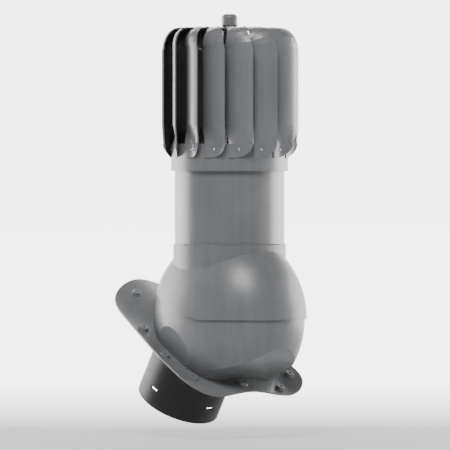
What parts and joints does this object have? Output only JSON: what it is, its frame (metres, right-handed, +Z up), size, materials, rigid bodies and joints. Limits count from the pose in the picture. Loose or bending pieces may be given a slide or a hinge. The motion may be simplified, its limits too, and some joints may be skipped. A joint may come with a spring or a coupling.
{
  "type": "rotating chimney cowl",
  "caption": "Wind-driven roof outlet: a vaned rotor spins on an insulated pipe held in a dome that tilts to suit the roof's slope.",
  "frame": {"origin": "centre of the duct spigot's open lower end", "axes": "+Z is up along the rotor's axis; the roof falls towards -Y; X runs across the roof"},
  "size_m": [0.272, 0.3968, 0.725],
  "materials": {
    "grey_plastic": "satin",
    "grey_sheet": "satin",
    "vane_sheet": "satin",
    "black_plastic": "matte",
    "black_rubber": "matte",
    "foam": "matte",
    "pale_plastic": "matte",
    "bright_steel": "satin"
  },
  "bodies": {
    "base": {"roof_flange": "grey_plastic", "dome_base": "grey_plastic", "duct_spigot": "black_plastic", "flex_hose": "black_rubber", "hose_clamp_lower": "bright_steel"},
    "cowl": {"dome_cover": "grey_plastic", "outer_pipe": "grey_sheet", "insulation_sleeve": "foam", "inner_duct": "black_plastic", "pipe_cap": "grey_sheet", "hose_clamp_upper": "bright_steel", "spindle_spider": "bright_steel", "spindle": "bright_steel", "spindle_nut_lower": "bright_steel", "spindle_nut_upper": "bright_steel", "thrust_washer": "bright_steel", "retaining_washer": "bright_steel"},
    "rotor": {"skirt_ring": "grey_sheet", "top_disc": "grey_sheet", "rotor_hub": "bright_steel", "bearing_sleeve_lower": "pale_plastic", "bearing_sleeve_upper": "pale_plastic", "vane_01": "vane_sheet", "vane_02": "vane_sheet", "vane_03": "vane_sheet", "vane_04": "vane_sheet", "vane_05": "vane_sheet", "vane_06": "vane_sheet", "vane_07": "vane_sheet", "vane_08": "vane_sheet", "vane_09": "vane_sheet", "vane_10": "vane_sheet", "vane_11": "vane_sheet", "vane_12": "vane_sheet", "vane_13": "vane_sheet", "vane_14": "vane_sheet", "vane_15": "vane_sheet", "skirt_rivets": "bright_steel", "top_rivets": "bright_steel", "top_knob": "grey_plastic"}
  },
  "joints": [
    {"name": "pitch_adjust", "type": "hinge", "parent": "base", "child": "cowl", "pos_m": [0, -0.1398, 0.1493], "axis": [1, 0, 0], "range_deg": [-8, 8], "deforming": ["flex_hose"]},
    {"name": "rotor_spin", "type": "hinge", "parent": "cowl", "child": "rotor", "pos_m": [0, -0.1398, 0.6], "axis": [0, 0, 1], "continuous": true}
  ]
}
